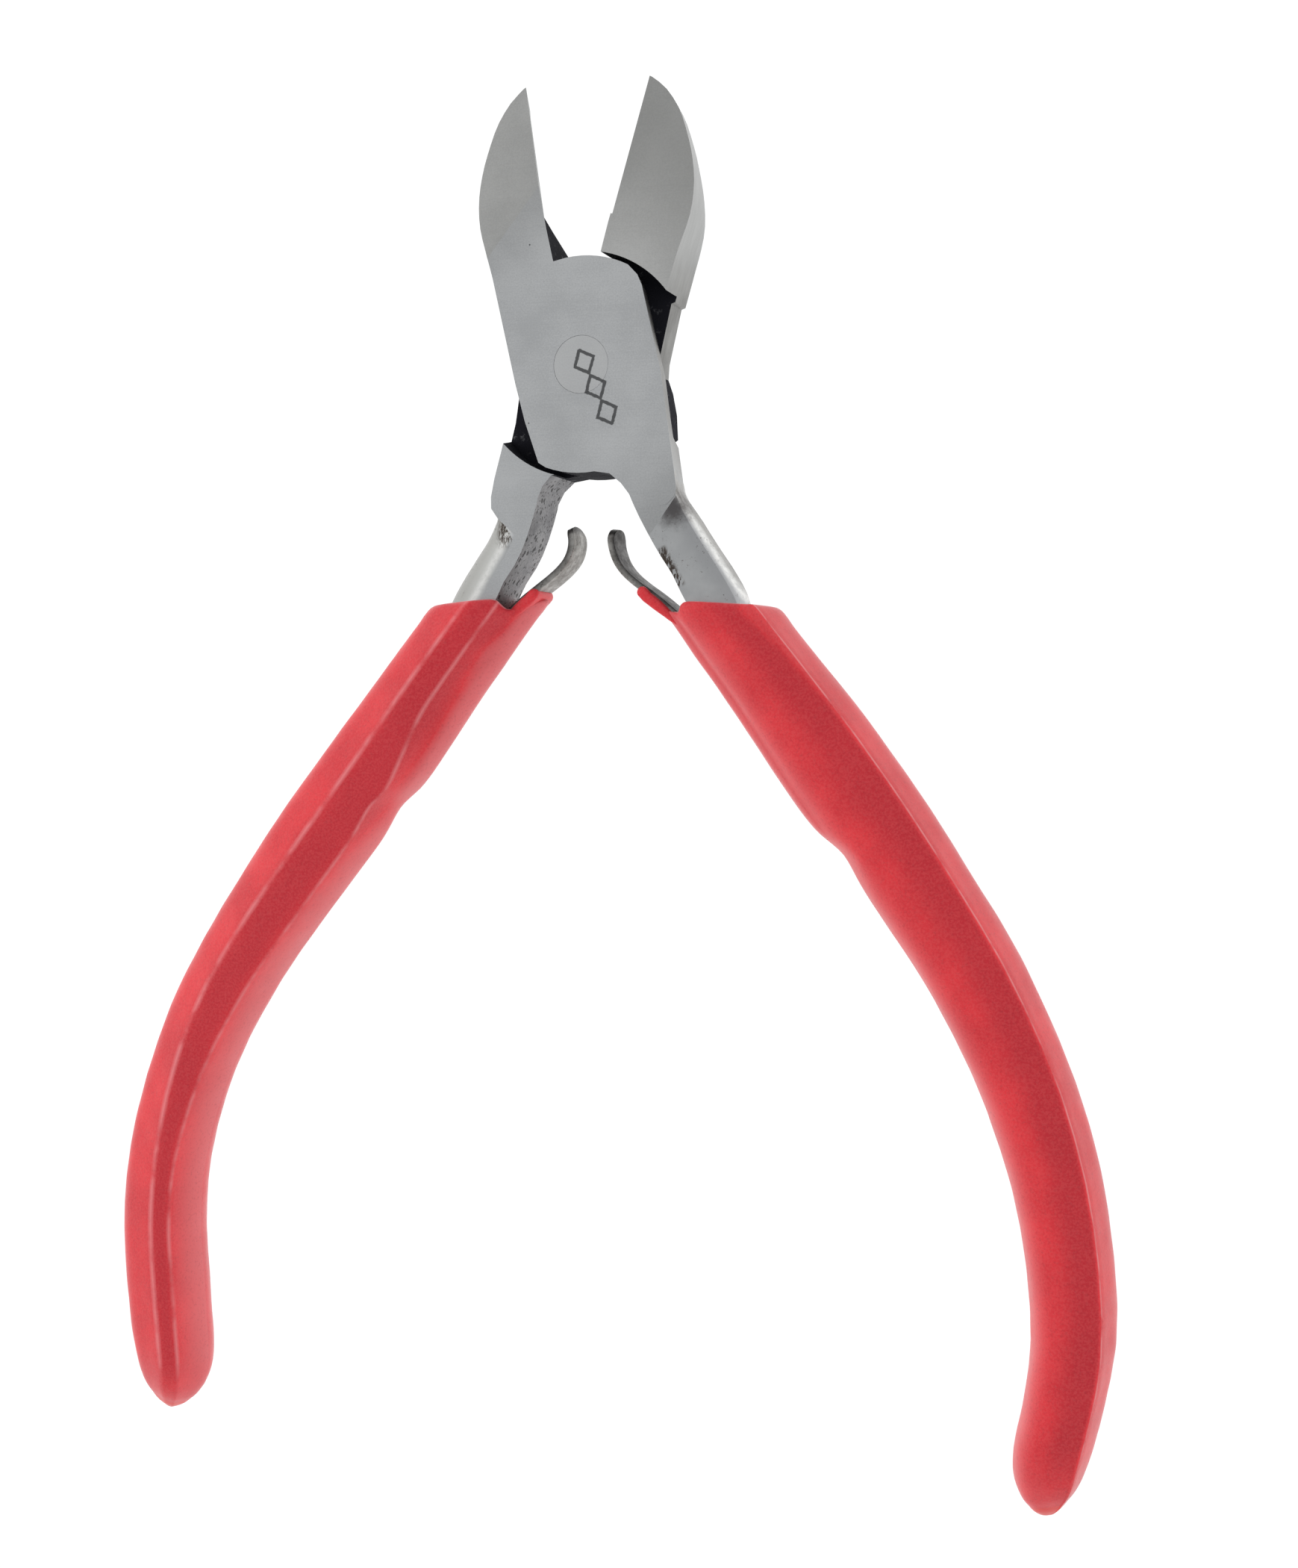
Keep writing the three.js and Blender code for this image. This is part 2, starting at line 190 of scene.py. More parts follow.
def rounded(corners, steps, spares):
    """Points round a polygon whose corners (x, y, cut) are rounded, cut being where rounding starts.

    Each corner has that many steps, and each side that many spare points.
    """
    points = []
    count = len(corners)
    for i, (x, y, cut) in enumerate(corners):
        corner = Vector((x, y))
        ends = []
        for other in (corners[i - 1], corners[(i + 1) % count]):
            away = Vector(other[:2]) - corner
            reach = min(cut, MOST_CUT * away.length)
            ends.append(corner + away.normalized() * reach)
        for step in range(steps + 1):
            t = step / steps
            points.append(ends[0] * (1 - t) ** 2 + corner * 2 * t * (1 - t) + ends[1] * t * t)
        *after, next_cut = corners[(i + 1) % count]
        after = Vector(after)
        back = corner - after
        start = after + back.normalized() * min(next_cut, MOST_CUT * back.length)
        for spare in range(1, spares + 1):
            points.append(ends[1].lerp(start, spare / (spares + 1)))
    return points


def line_normals(points):
    """Unit normals of a line of points, to the left of its direction."""
    normals = []
    for i in range(len(points)):
        run = points[min(i + 1, len(points) - 1)] - points[max(i - 1, 0)]
        normals.append(Vector((-run.y, run.x)).normalized())
    return normals


def smooth_line(points, parts):
    """A line through the points with that many parts between each two, as a Catmull-Rom curve."""
    result = []
    for i in range(len(points) - 1):
        a, b = points[max(i - 1, 0)], points[i]
        c, d = points[i + 1], points[min(i + 2, len(points) - 1)]
        for part in range(parts):
            t = part / parts
            result.append(0.5 * (2 * b + (c - a) * t + (2 * a - 5 * b + 4 * c - d) * t * t
                                 + (3 * b - a - 3 * c + d) * t ** 3))
    return result + [points[-1]]


# Material helpers

MIX_A, MIX_B, MIX_RESULT = 6, 7, 2      # the mix node's sockets for colours


class Shader:
    """A procedural material in the making: each call adds a node and returns its output."""

    def __init__(self, name, **sockets):
        self.material = bpy.data.materials.new(name)
        self.material.use_nodes = True
        self.tree = self.material.node_tree
        self.surface = self.tree.nodes["Principled BSDF"]
        self.feed(self.surface, sockets)
        self.place = self.tree.nodes.new("ShaderNodeTexCoord").outputs["Object"]

    def put(self, socket, value):
        """Links a node's output to the socket, or sets the socket's own value."""
        if isinstance(value, bpy.types.NodeSocket):
            self.tree.links.new(value, socket)
        else:
            socket.default_value = value

    def feed(self, node, sockets):
        for name, value in sockets.items():
            self.put(node.inputs[name.replace("_", " ")], value)

    def add(self, kind, output=0, settings=(), **sockets):
        node = self.tree.nodes.new(kind)
        for name, value in dict(settings).items():
            setattr(node, name, value)
        self.feed(node, sockets)
        return node.outputs[output]

    def attribute(self, name):
        """A number that the mesh stores at each of its vertices."""
        return self.add("ShaderNodeAttribute", output="Fac", settings={"attribute_name": name})

    def stretched(self, scale):
        """The place in the object scaled, so that a pattern can run one way."""
        return self.add("ShaderNodeMapping", Vector=self.place, Scale=scale)

    def noise(self, size, detail=3.0, roughness=0.55, place=None, shift=0.0):
        """Noise of a feature size in millimetres, from 0 to 1."""
        moved = self.add("ShaderNodeMapping", Vector=place or self.place, Location=(shift, shift, shift))
        return self.add("ShaderNodeTexNoise", Vector=moved, Scale=1 / (size * MM), Detail=detail,
                        Roughness=roughness)

    def spots(self, size, radius, share):
        """1 in round spots of that radius, in a share of the cells of that size, in millimetres."""
        node = self.tree.nodes.new("ShaderNodeTexVoronoi")
        self.feed(node, {"Vector": self.place, "Scale": 1 / (size * MM)})
        near = self.span(node.outputs["Distance"], radius / size, 0.6 * radius / size)
        cell = self.add("ShaderNodeSeparateColor", Color=node.outputs["Color"])
        return self.math("MULTIPLY", near, self.math("LESS_THAN", cell, share))

    def math(self, operation, a, b=0.0, clamp=False):
        node = self.tree.nodes.new("ShaderNodeMath")
        node.operation = operation
        node.use_clamp = clamp
        for socket, value in zip(node.inputs, (a, b)):
            self.put(socket, value)
        return node.outputs[0]

    def sum(self, *parts):
        """The sum of (value, weight) parts."""
        total = None
        for value, weight in parts:
            part = self.math("MULTIPLY", value, weight)
            total = part if total is None else self.math("ADD", total, part)
        return total

    def span(self, value, low, high, out_low=0.0, out_high=1.0):
        """The value from low..high to out_low..out_high, smooth and held at the ends."""
        node = self.tree.nodes.new("ShaderNodeMapRange")
        node.interpolation_type = "SMOOTHSTEP"
        self.feed(node, {"Value": value, "From Min": low, "From Max": high,
                         "To Min": out_low, "To Max": out_high})
        return node.outputs[0]

    def mix(self, factor, a, b):
        """Colour a where factor is 0, b where it is 1."""
        node = self.tree.nodes.new("ShaderNodeMix")
        node.data_type = "RGBA"
        self.put(node.inputs["Factor"], factor)
        for socket, value in ((MIX_A, a), (MIX_B, b)):
            self.put(node.inputs[socket], (*value, 1) if isinstance(value, tuple) else value)
        return node.outputs[MIX_RESULT]

    def bump(self, height, depth):
        """A normal bent by a height from 0 to 1, depth being its real depth in millimetres."""
        return self.add("ShaderNodeBump", Height=height, Distance=depth * MM)

    def off(self, point, flat=1.0):
        """Distance from a point of the row frame in millimetres, counted that many times up and down."""
        moved = self.add("ShaderNodeMapping", Vector=self.place, Location=tuple(-point))
        scaled = self.add("ShaderNodeMapping", Vector=moved, Scale=(1 / MM, 1 / MM, flat / MM))
        return self.add("ShaderNodeVectorMath", output="Value", settings={"operation": "LENGTH"},
                        Vector=scaled)

    def line(self, start, end):
        """Distance across the line from start to end in millimetres, above 0 on its right, and along it."""
        run = end - start
        moved = self.add("ShaderNodeMapping", Vector=self.place, Location=tuple(-start))
        own = self.add("ShaderNodeMapping", Vector=moved, Scale=(1 / MM,) * 3,
                       Rotation=(0, 0, math.pi / 2 - math.atan2(run.y, run.x)))
        return self.axis("X", own), self.axis("Y", own)

    def axis(self, name, place=None):
        """One coordinate of a place, X, Y or Z."""
        return self.add("ShaderNodeSeparateXYZ", output=name, Vector=place or self.place)

    def finish(self, **sockets):
        self.feed(self.surface, sockets)
        return self.material


def ground_steel(name, light, dark, mark=False, fade=0.0):
    """Satin steel with very fine grinding lines, small pits and faint clouding.

    mark adds the etched mark; fade darkens the steel by that share towards the jaw tips.
    """
    s = Shader(name, Metallic=1.0)
    lines = s.noise(1.0, 3.0, 0.7, s.stretched((0.12, 9.0, 0.3)))
    clouds = s.noise(6.0, 3.0)
    grain = s.noise(0.15, 2.0)
    tone = s.sum((lines, 0.15), (clouds, 0.45), (grain, 0.4))
    colour = s.mix(s.span(tone, 0.34, 0.66), dark, light)
    far = s.span(s.off(PIVOT), 9, 22, 0.0, fade)
    colour = s.mix(far, colour, (0.2, 0.2, 0.19))
    pits = s.spots(2.6, 0.11, 0.16)
    colour = s.mix(s.math("MULTIPLY", pits, 0.8), colour, (0.05, 0.05, 0.05))
    rough = s.span(lines, 0.3, 0.7, 0.42, 0.46)
    height = s.math("SUBTRACT", s.sum((lines, 0.2), (grain, 0.2)), pits)
    if mark:
        etched = etched_mark(s)
        colour = s.mix(s.math("MULTIPLY", etched, 0.9), colour, (0.11, 0.112, 0.115))
        rough = s.sum((rough, 1.0), (etched, 0.2))
        height = s.sum((height, 1.0), (etched, -0.4))
    return s.finish(Base_Color=colour, Roughness=rough, Normal=s.bump(height, 0.008))


MARK_AT = (0.9, -2.3)       # middle of the etched mark on the closed plate, u and v
MARK_TURN = math.radians(12.6)
MARK_STEP = 2.5             # from one lozenge to the next
MARK_HALF = (0.95, 1.12)    # half sizes of a lozenge
MARK_LINE = 0.2             # half width of its lines, as a share of a lozenge
MARK_SOFT = 0.05            # and how soft their sides are


def etched_mark(s):
    """A plain mark that names no maker: a row of three open lozenges."""
    turned = s.add("ShaderNodeMapping", Vector=s.place, Rotation=(0, 0, -HALF_OPENING))
    moved = s.add("ShaderNodeMapping", Vector=turned, Location=(-MARK_AT[0] * MM, -MARK_AT[1] * MM, 0))
    own = s.add("ShaderNodeMapping", Vector=moved, Rotation=(0, 0, -MARK_TURN), Scale=(1 / MM,) * 3)
    across, along = s.math("ABSOLUTE", s.axis("X", own)), s.math("ABSOLUTE", s.axis("Y", own))
    nearest = s.math("PINGPONG", along, MARK_STEP / 2)
    size = s.math("ADD", s.math("DIVIDE", across, MARK_HALF[0]), s.math("DIVIDE", nearest, MARK_HALF[1]))
    wobble = s.math("SUBTRACT", s.noise(0.4, 2.0), 0.5)
    off = s.sum((s.math("ABSOLUTE", s.math("SUBTRACT", size, 1.0)), 1.0), (wobble, 0.25))
    lines = s.span(off, MARK_LINE + MARK_SOFT, MARK_LINE - MARK_SOFT)
    return s.math("MULTIPLY", lines, s.span(along, 1.5 * MARK_STEP, 1.5 * MARK_STEP - MARK_SOFT))


def side_steel():
    """Milled outer walls: light satin steel with faint lines down the wall."""
    s = Shader("side_steel", Metallic=1.0)
    lines = s.noise(0.8, 3.0, 0.6, s.stretched((1.0, 0.25, 4.0)))
    clouds = s.noise(3.0, 3.0, shift=0.02)
    colour = s.mix(s.span(clouds, 0.3, 0.7), (0.21, 0.208, 0.2), (0.28, 0.278, 0.268))
    colour = s.mix(s.span(s.off(PIVOT), 9, 15), colour, (0.42, 0.425, 0.42))
    rough = s.span(lines, 0.3, 0.7, 0.38, 0.5)
    return s.finish(Base_Color=colour, Roughness=rough, Normal=s.bump(lines, 0.01))


def oxide_and_shade():
    """Near black scale in the joint's recess, with a few paler scuffs; the same near black stands as
    painted shade on the wall between the handles.
    """
    s = Shader("dark_scale_and_shade", Metallic=0.0, Specular_IOR_Level=0.12)
    scuffs = s.span(s.noise(0.9, 5.0, 0.7), 0.56, 0.78)
    colour = s.mix(scuffs, (0.013, 0.013, 0.018), (0.16, 0.16, 0.17))
    return s.finish(Base_Color=colour, Roughness=s.span(scuffs, 0.0, 1.0, 0.8, 0.6),
                    Normal=s.bump(s.noise(0.25, 4.0), 0.03))


def forged_inner():
    """Dark forged inner wall of a tang, with many small pits."""
    s = Shader("forged_inner", Metallic=0.85)
    clouds = s.sum((s.noise(2.6, 3.0, 0.5), 0.6), (s.noise(0.25, 3.0), 0.4))
    colour = s.mix(s.span(clouds, 0.32, 0.68), (0.19, 0.188, 0.195), (0.31, 0.305, 0.31))
    pits = s.math("MAXIMUM", s.spots(0.75, 0.27, 0.75), s.spots(0.36, 0.11, 0.6))
    colour = s.mix(s.math("MULTIPLY", pits, 0.85), colour, (0.015, 0.014, 0.013))
    height = s.math("SUBTRACT", s.noise(0.35, 4.0, 0.7), pits)
    return s.finish(Base_Color=colour, Roughness=s.span(clouds, 0.2, 0.8, 0.55, 0.42),
                    Normal=s.bump(height, 0.05))


# Places on the tangs, as u and v in the half's plane
CREST = {"front": ((10.15, -24.3), (6.75, -15.6)), "rear": ((4.75, -21.5), (3.0, -16.0))}
TANG_RUST = ((4.6, -21.2), (3.6, -17.7))    # rusty stretch of the front tang's inner edge
RUST_MIDDLE, RUST_HALF = 1.9, 2.1           # its middle and half length, along that line
TANG_STAIN = (5.5, -14.4)                   # dark stain where the front plate ends
REAR_RUST = (3.9, -15.5)                    # rusty corner beside the rear shoulder


def tang_steel(half):
    """Rounded part of a tang, with a bright crest that is a painted highlight, a slope outside it, painted
    shade on the front flat left of the crest and down the rear slope, stains and rust.
    """
    s = Shader(f"{half.name}_tang_steel", Metallic=1.0)
    side = 0 if half.rear else JOINT
    clouds, grain = s.noise(2.4, 4.0, 0.6), s.noise(0.12, 3.0)
    across = s.line(*(half.world(*point, side) for point in CREST[half.name]))[0]
    if half.rear:
        across = s.math("MULTIPLY", across, -1.0)
    flat = s.mix(s.span(clouds, 0.3, 0.7), (0.54, 0.55, 0.556), (0.61, 0.62, 0.622))
    if half.rear:
        # painted shade: the rear slope darkens away from the crest
        slope = s.mix(s.span(across, 0.5, 2.0), (0.60, 0.605, 0.585), (0.42, 0.42, 0.40))
        crest_at, crest_half = 0.35, 0.75
    else:
        # painted shade: the front flat darkens to the left of the crest
        flat = s.mix(s.span(across, -2.2, -0.5, 0.0, 0.5), flat, (0.40, 0.405, 0.42))
        slope = s.mix(s.span(clouds, 0.3, 0.7), (0.33, 0.325, 0.31), (0.40, 0.395, 0.38))
        crest_at, crest_half = 0.0, 0.34
    colour = s.mix(s.span(across, -0.15, 0.3), flat, slope)
    # painted highlight along the crest, in patches
    crest_patches = s.span(s.noise(0.5, 4.0, 0.7), 0.3, 0.6, 0.5, 0.95)
    off_crest = s.math("ABSOLUTE", s.math("SUBTRACT", across, crest_at))
    crest = s.math("MULTIPLY", s.span(off_crest, crest_half, 0.0), crest_patches)
    colour = s.mix(crest, colour, (0.88, 0.88, 0.86))
    if half.rear:
        near = s.span(s.off(half.world(*REAR_RUST, side)), 2.1, 0.8)
    else:
        stain = s.sum((s.off(half.world(*TANG_STAIN, side), 0.4), 1.0), (s.noise(0.7, 5.0, 0.7), 2.0))
        colour = s.mix(s.span(stain, 3.4, 1.3, 0.0, 0.85), colour, (0.08, 0.07, 0.07))
        off, along = s.line(*(half.world(*point, side) for point in TANG_RUST))
        along = s.math("ABSOLUTE", s.math("SUBTRACT", along, RUST_MIDDLE))
        near = s.math("MULTIPLY", s.span(s.math("ABSOLUTE", off), 0.75, 0.3),
                      s.span(along, RUST_HALF, RUST_HALF - 0.4))
    marks = s.span(s.noise(0.3, 4.0, 0.7, s.stretched((1.6, 0.5, 1.0)), shift=0.013), 0.42, 0.54)
    specks = s.math("MULTIPLY", s.span(s.noise(0.3, 4.0, 0.7, shift=0.02), 0.6, 0.68),
                    s.span(s.noise(4.0, 2.0, shift=0.031), 0.46, 0.6))
    rust = s.math("MAXIMUM", s.math("MULTIPLY", marks, near), s.math("MULTIPLY", specks, 0.8))
    colour = s.mix(s.math("MULTIPLY", rust, 0.9), colour, (0.07, 0.045, 0.03))
    rough = s.sum((s.span(grain, 0.3, 0.7, 0.34, 0.44), 1.0), (rust, 0.3))
    height = s.sum((grain, 0.5), (rust, 1.0))
    return s.finish(Base_Color=colour, Roughness=rough, Normal=s.bump(height, 0.008))


def edge_steel():
    """Bright edges, rubbed pale with use and also made paler as a painted highlight where they catch the
    light.
    """
    s = Shader("worn_edge_and_highlight", Metallic=1.0)
    patchiness = s.noise(0.5, 4.0, 0.7)
    colour = s.mix(s.span(patchiness, 0.35, 0.7), (0.36, 0.36, 0.36), (0.66, 0.66, 0.65))
    return s.finish(Base_Color=colour, Roughness=s.span(patchiness, 0.3, 0.7, 0.3, 0.42),
                    Normal=s.bump(patchiness, 0.01))


def spring_steel():
    """Dull leaf spring steel, paler where lit is 1, with brown and black blotches."""
    s = Shader("spring_steel", Metallic=0.9)
    clouds = s.noise(1.1, 5.0, 0.7)
    specks = s.span(s.noise(0.3, 4.0, 0.7, shift=0.011), 0.55, 0.68)
    dark = s.mix(s.span(clouds, 0.32, 0.68), (0.055, 0.052, 0.05), (0.15, 0.145, 0.14))
    pale = s.mix(s.span(clouds, 0.32, 0.68), (0.24, 0.23, 0.215), (0.42, 0.41, 0.39))
    colour = s.mix(s.attribute("lit"), dark, pale)
    colour = s.mix(s.math("MULTIPLY", specks, 0.6), colour, (0.06, 0.048, 0.04))
    return s.finish(Base_Color=colour, Roughness=s.span(clouds, 0.3, 0.7, 0.52, 0.38),
                    Normal=s.bump(s.noise(0.2, 3.0), 0.012))


def red_dip():
    """Thick red dipped plastic with a soft gloss, a mottled grain and a painted highlight along its ridges.

    It reads three numbers of the mesh: pale, above 0 where a pinker skin is painted as reflected light and
    below 0 where a deeper red is painted as shade, ridge, 1 or more along a ridge that gets the painted
    highlight, and tone, which is high on the thin drip at the grip's end.
    """
    s = Shader("red_dip", Metallic=0.0, Subsurface_Weight=0.1, Subsurface_Radius=(1.0, 0.22, 0.2),
               Subsurface_Scale=1.0 * MM, Specular_IOR_Level=0.42, Coat_Weight=0.1, Coat_Roughness=0.3,
               Sheen_Weight=0.3, Sheen_Roughness=0.35)
    pale = s.attribute("pale")
    clouds, grain = s.noise(5.0, 4.0, 0.55), s.noise(0.2, 3.0, 0.65)
    colour = s.mix(s.span(clouds, 0.3, 0.7), (0.66, 0.018, 0.030), (0.80, 0.028, 0.040))
    # painted light: where pale is above 0 a pinkish sheen stands in for reflected light, where it is below
    # 0 a deeper red stands in for shade
    colour = s.mix(s.math("MULTIPLY", pale, 0.75, clamp=True), colour, (0.72, 0.17, 0.18))
    colour = s.mix(s.math("MULTIPLY", pale, -0.9, clamp=True), colour, (0.50, 0.008, 0.022))
    colour = s.mix(s.span(grain, 0.38, 0.62, 0.0, 0.22), colour, (0.80, 0.12, 0.12))
    dark_grain = s.span(s.noise(0.25, 3.0, 0.65, shift=0.03), 0.5, 0.75, 0.0, 0.3)
    colour = s.mix(dark_grain, colour, (0.33, 0.02, 0.03))
    # painted highlight along the ridges, in patches
    patchiness = s.span(s.noise(3.0, 3.0, shift=0.04), 0.3, 0.6, 0.12, 0.55)
    colour = s.mix(s.math("MULTIPLY", s.attribute("ridge"), patchiness), colour, (0.92, 0.33, 0.34))
    colour = s.mix(s.attribute("tone"), colour, (0.80, 0.055, 0.045))
    blemish = s.spots(9.0, 0.35, 0.13)
    colour = s.mix(s.math("MULTIPLY", blemish, 0.35), colour, (0.8, 0.2, 0.2))
    rough = s.span(s.noise(2.5, 4.0, shift=0.01), 0.3, 0.7, 0.45, 0.56)
    height = s.sum((grain, 0.25), (s.noise(1.4, 3.0, 0.5, shift=0.02), 1.0), (blemish, 1.5))
    return s.finish(Base_Color=colour, Roughness=rough, Normal=s.bump(height, 0.03))


# Levers

EDGE_ROUND = 0.12
EDGE_SHARP = 28     # edges sharper than this in degrees are rounded
BORE_EDGE = 3.0     # edges nearer to the axis than this stay sharp
PLATE_EDGE = 9.9    # radius of the shoulder that the other plate turns in
PLATE_END = ((6.1, -13.3), (4.1, -15.1))    # the side at z = JOINT is ground down to this line
THROAT = (8.5, 13.7)        # from v to v, the dark wall between the joint and the cutting edge
CROTCH = (-12.0, -9.0)      # and the one between the handles, near black there as painted shade
JAW_START = 12.0
TIP_LEAN = 0.9      # the jaw's outer wall leans in by this much at the tip's lower edge
LEAN_END = 20.0     # v from which it leans by all of that
UPRIGHT = 0.25      # share of its height, from the top, that doesn't lean
SLOT_GROUND, SLOT_JAW, SLOT_SIDE, SLOT_OXIDE_AND_SHADE, SLOT_INNER, SLOT_TANG, SLOT_EDGE = range(7)


def past_plate(place):
    """Whether a place in the half's plane is below the end of the ground plate."""
    start, end = (Vector(point) for point in PLATE_END)
    return (place.xy - start).cross(end - start) < 0


def lever_slot(face, half):
    """Which of a lever's materials a face has, from its place and direction in the half's plane."""
    place, normal = face.calc_center_median(), face.normal
    radius, level = math.hypot(place.x, place.y), abs(normal.z)
    recess_floor = normal.z < -0.9 and abs(place.z - MID) < 0.2
    shoulder = level < 0.2 and abs(radius - PLATE_EDGE) < 0.15 and place.z < MID + 0.1
    recess_wall = level < 0.2 and place.y < 0.5 and radius < PLATE_EDGE and normal.x < 0.5
    throat = (THROAT[0] < place.y < THROAT[1] and normal.x > 0.2 and level < 0.9
              and (place.z < JOINT - 0.3 or half.rear))
    # the wall between the handles lies in shade, so it gets the near black as painted shade
    crotch = CROTCH[0] < place.y < CROTCH[1] and normal.y < -0.6 and level < 0.5
    if recess_floor or shoulder or recess_wall or throat or crotch:
        return SLOT_OXIDE_AND_SHADE
    if level > 0.9 and (place.z < 0.02 or not past_plate(place)):
        tapered = place.y > JAW_START and 0.15 < place.z < JOINT - 0.15
        return SLOT_JAW if tapered or (half.rear and place.y > 5) else SLOT_GROUND
    if place.y < -PLATE_EDGE and normal.x < -0.3 and level < 0.5:
        return SLOT_INNER
    return SLOT_TANG if place.y < CROTCH[0] else SLOT_SIDE


def lean_tip(bm, half):
    """Leans the jaw's outer wall in towards the tip, by more the nearer it is to the underside."""
    for vert in bm.verts:
        if vert.co.y > JAW_START and vert.co.x < -0.8:
            depth = vert.co.z / JOINT if half.rear else 1 - vert.co.z / JOINT
            lean = TIP_LEAN * ease(vert.co.y, JAW_START, LEAN_END)
            vert.co.x += lean * max(depth - UPRIGHT, 0) / (1 - UPRIGHT)


def lever(half, materials):
    """A forged half with its slots of material, rounded edges and leaning tip."""
    bm = in_plane(half, "lever")
    bmesh.ops.dissolve_limit(bm, angle_limit=math.radians(0.3), verts=bm.verts, edges=bm.edges)
    start, end = (Vector((*point, 0)) for point in PLATE_END)
    bmesh.ops.bisect_plane(bm, geom=bm.verts[:] + bm.edges[:] + bm.faces[:], plane_co=start,
                           plane_no=(end - start).cross(Vector((0, 0, 1))))
    bm.normal_update()
    for face in bm.faces:
        face.material_index = lever_slot(face, half)
    limit = math.radians(EDGE_SHARP)
    sharp = [e for e in bm.edges if len(e.link_faces) == 2 and e.calc_face_angle(0) > limit
             and max(v.co.xy.length for v in e.verts) > BORE_EDGE]
    bmesh.ops.bevel(bm, geom=sharp, offset=EDGE_ROUND, segments=2, profile=0.6, affect="EDGES",
                    clamp_overlap=True, material=SLOT_EDGE)
    smooth(bm, 40)
    lean_tip(bm, half)
    bm.transform(half.to_world)
    piece = object_of(bm, half.node("lever_fine"), materials)
    weighted = piece.modifiers.new("flat_faces", "WEIGHTED_NORMAL")
    weighted.keep_sharp = True
    weighted.weight = 90
    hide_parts(half.node("lever"))
    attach(piece, half.body)


RIVET_WIDER = 0.04      # the head's radius is larger than the CAD one's by this
RIVET_STEPS = 96


def rivet(material):
    """The pivot rivet: flush ground heads on a waisted shank."""
    head = (RIVET_HIGH.x - RIVET_LOW.x) / 2 / MM + RIVET_WIDER
    shank, sink, waist, chamfer = 0.68 * head, 0.1 * JOINT, 0.233 * JOINT, 0.02
    profile = [(0, 0), (head - chamfer, 0), (head, chamfer), (head, sink), (shank, waist)]
    profile += [(r, JOINT - z) for r, z in reversed(profile)]
    bm = bmesh.new()
    verts = [bm.verts.new((r * MM, 0, z * MM)) for r, z in profile]
    edges = [bm.edges.new(pair) for pair in zip(verts, verts[1:])]
    bmesh.ops.spin(bm, geom=verts + edges, cent=PIVOT, axis=(0, 0, 1), angle=math.tau, steps=RIVET_STEPS)
    bmesh.ops.remove_doubles(bm, verts=bm.verts, dist=0.001 * MM)
    smooth(bm, 30)
    piece = object_of(bm, "pivot_rivet_fine", [material])
    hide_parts("pivot_rivet")
    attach(piece, "front_half")


# Leaf springs

SQUARE = ((1, -1), (1, 1), (-1, 1), (-1, -1))
LEAF_ROUND = 0.1    # rounding of the leaf's long edges
LEAF_TIP = 0.42     # radius of the tip's corners, as a share of the leaf's width
LEAF_PARTS = 5      # points of the middle line for each one of the CAD blade
BEND_LENGTH = 2.5   # length from the leaf's root over which bend() would flex it; it is worked out but not used


def leaf_line(half):
    """The middle line of the CAD blade from its tip to its root, and its thickness and width."""
    bm = in_plane(half, "spring_blade")
    top = max(v.co.z for v in bm.verts)
    width = top - min(v.co.z for v in bm.verts)
    rim = [e for e in bm.edges if sum(abs(f.normal.z) > 0.9 for f in e.link_faces) == 1
           and all(abs(v.co.z - top) < 0.01 for v in e.verts)]
    start = rim[0]
    loop, edge, vert = [], start, start.verts[0]
    while True:
        loop.append(vert.co.xy)
        vert = edge.other_vert(vert)
        edge = next(e for e in vert.link_edges if e in rim and e is not edge)
        if edge is start:
            break
    bm.free()
    count = len(loop)
    thick, first = min(((loop[i] - loop[i - 1]).length, i) for i in range(count))
    loop = loop[first:] + loop[:first]
    pairs = [(loop[i] + loop[-1 - i]) / 2 for i in range(count // 2)]
    if pairs[0].y < pairs[-1].y:
        pairs.reverse()
    return pairs, thick, width


def leaf(half, material):
    """The leaf spring, with a round tip; gives its middle line from the tip to the root."""
    line, thick, width = leaf_line(half)
    line = smooth_line(line, LEAF_PARTS)
    tip_round = LEAF_TIP * width
    bm = bmesh.new()
    lit = bm.verts.layers.float.new("lit")
    rings, shades, run = [], [], 0.0
    for i, (point, normal) in enumerate(zip(line, line_normals(line))):
        run += (point - line[i - 1]).length if i else 0.0
        left = max(tip_round - run, 0)
        broad = width / 2 - tip_round + math.sqrt(max(tip_round ** 2 - left ** 2, 0)) + 0.12
        broad = min(broad, width / 2)
        outline = rounded([(x * thick / 2, y * broad, LEAF_ROUND) for x, y in SQUARE], 3, 1)
        rings.append([half.world(point.x + normal.x * x, point.y + normal.y * x, MID + y)
                      for x, y in outline])
        shades.append([ease(run, 0.2, 0.9) * (1 - ease(x, -0.3 * thick, 0.5 * thick)) for x, y in outline])
    for row, row_shades in zip(loft(bm, rings), shades):
        for vert, shade in zip(row, row_shades):
            vert[lit] = shade
    smooth(bm, 50)
    piece = object_of(bm, half.node("leaf"), [material])
    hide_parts(half.node("spring_blade"))
    bend(piece, half, line)
    return line


def bend(piece, half, line):
    """Bakes the piece's place into its mesh; the stretch over which the leaf would flex from its root is
    worked out but not used.
    """
    root = line[-1]
    along = (line[-8] - root).normalized() * BEND_LENGTH
    start, end = half.world(*root, MID), half.world(*(root + along), MID)
    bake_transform(piece)


# Dipped grips

